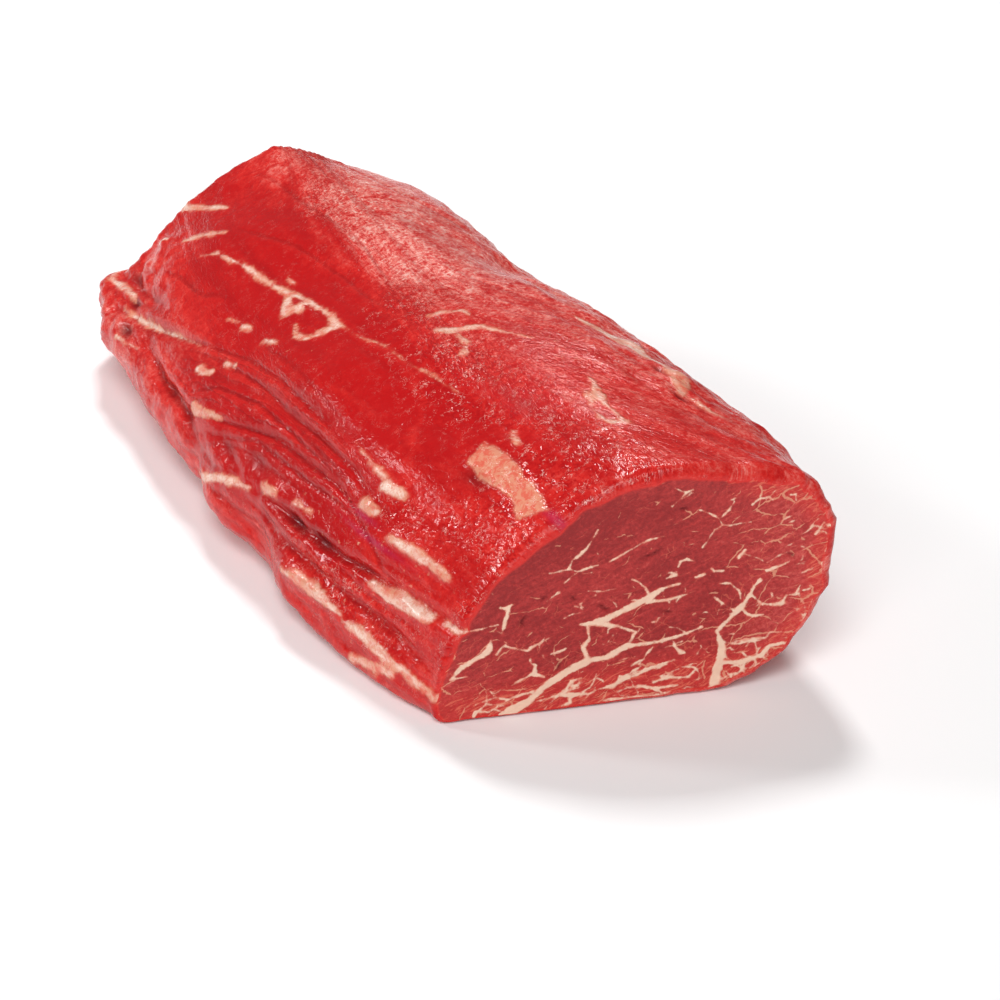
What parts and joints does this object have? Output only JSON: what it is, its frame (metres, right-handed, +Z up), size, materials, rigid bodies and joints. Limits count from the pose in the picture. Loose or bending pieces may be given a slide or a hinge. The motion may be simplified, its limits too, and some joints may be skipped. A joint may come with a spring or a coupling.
{
  "type": "raw beef tenderloin roast",
  "caption": "Raw trimmed beef tenderloin roast lying on its flat side, with a marbled cut face, a rounded crown and seams, folds and strips of fat along its flank.",
  "frame": {"origin": "middle of the bounding box, on the flat underside that the roast rests on", "axes": "+Y along the roast from the marbled near cut to the far end, +Z up, +X to the right as seen from the near cut"},
  "size_m": [0.1286, 0.2494, 0.0697],
  "materials": {
    "raw_meat": "wet raw beef: deep red muscle with a moist sheen, pale film and cream fat, and a marbled cut face"
  },
  "bodies": {
    "root": {"roast": "raw_meat"}
  },
  "joints": []
}
